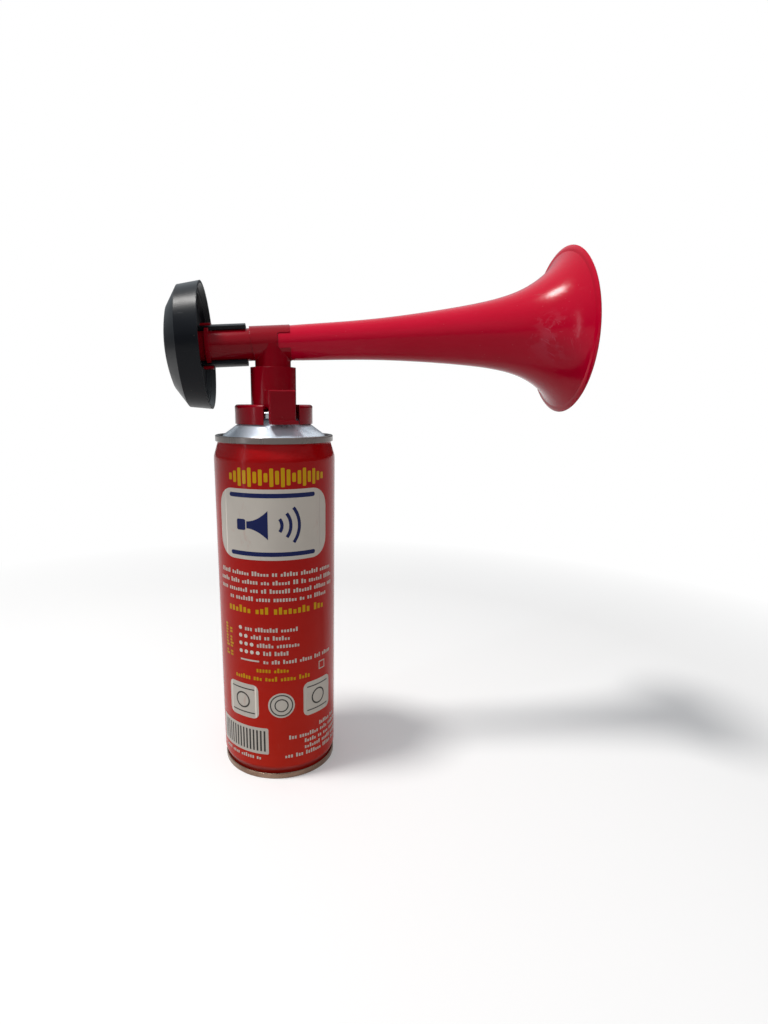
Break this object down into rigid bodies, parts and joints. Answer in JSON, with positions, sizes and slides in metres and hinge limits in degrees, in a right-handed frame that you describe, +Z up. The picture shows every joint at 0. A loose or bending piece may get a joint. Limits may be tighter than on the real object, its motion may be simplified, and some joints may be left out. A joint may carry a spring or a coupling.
{
  "type": "hand-held gas horn",
  "caption": "Red trumpet with a black diaphragm housing on an aerosol can; a thumb lever opens the valve and the horn swivels.",
  "frame": {"origin": "centre of the can's base, on the plane that it stands on", "axes": "+Z up the can's axis, +X towards the trumpet's mouth, -Y is the side with the thumb lever"},
  "size_m": [0.1854, 0.0736, 0.2495],
  "materials": {
    "can_print": "gloss lithographed print",
    "tinplate": "bright tinplate",
    "compound": "cured sealing compound",
    "rubber": "matt nitrile rubber",
    "white_plastic": "natural acetal",
    "spring_steel": "drawn stainless wire",
    "horn_red": "semi-gloss moulded",
    "trumpet_red": "gloss moulded",
    "black_plastic": "gloss moulded",
    "film": "polyester film"
  },
  "bodies": {
    "can": {"can_body": "can_print", "bottom_end": "tinplate", "top_dome": "tinplate", "top_seam_compound": "compound", "base_seam_compound": "compound", "valve_cup": "tinplate", "cup_gasket": "rubber", "stem_gasket": "rubber", "valve_housing": "white_plastic", "valve_spring": "spring_steel", "collar": "horn_red"},
    "lever": {"valve_stem": "white_plastic", "lever_socket": "horn_red"},
    "horn": {"horn_tee": "horn_red", "swivel_o_ring": "rubber", "trumpet": "trumpet_red", "trumpet_o_ring": "rubber", "diaphragm_housing": "black_plastic", "housing_o_ring": "rubber", "diaphragm_gasket": "rubber", "diaphragm": "film", "clamp_ring": "black_plastic", "rear_cap": "black_plastic"}
  },
  "joints": [
    {"name": "lever_press", "type": "slide", "parent": "can", "child": "lever", "axis": [0, 0, -1], "range_m": [0, 0.001], "stiffness_N_per_m": 2000, "springref_m": -0.008, "deforming": ["valve_spring"]},
    {"name": "horn_swivel", "type": "hinge", "parent": "lever", "child": "horn", "pos_m": [0, 0, 0.19], "axis": [0, 0, 1], "continuous": true}
  ]
}
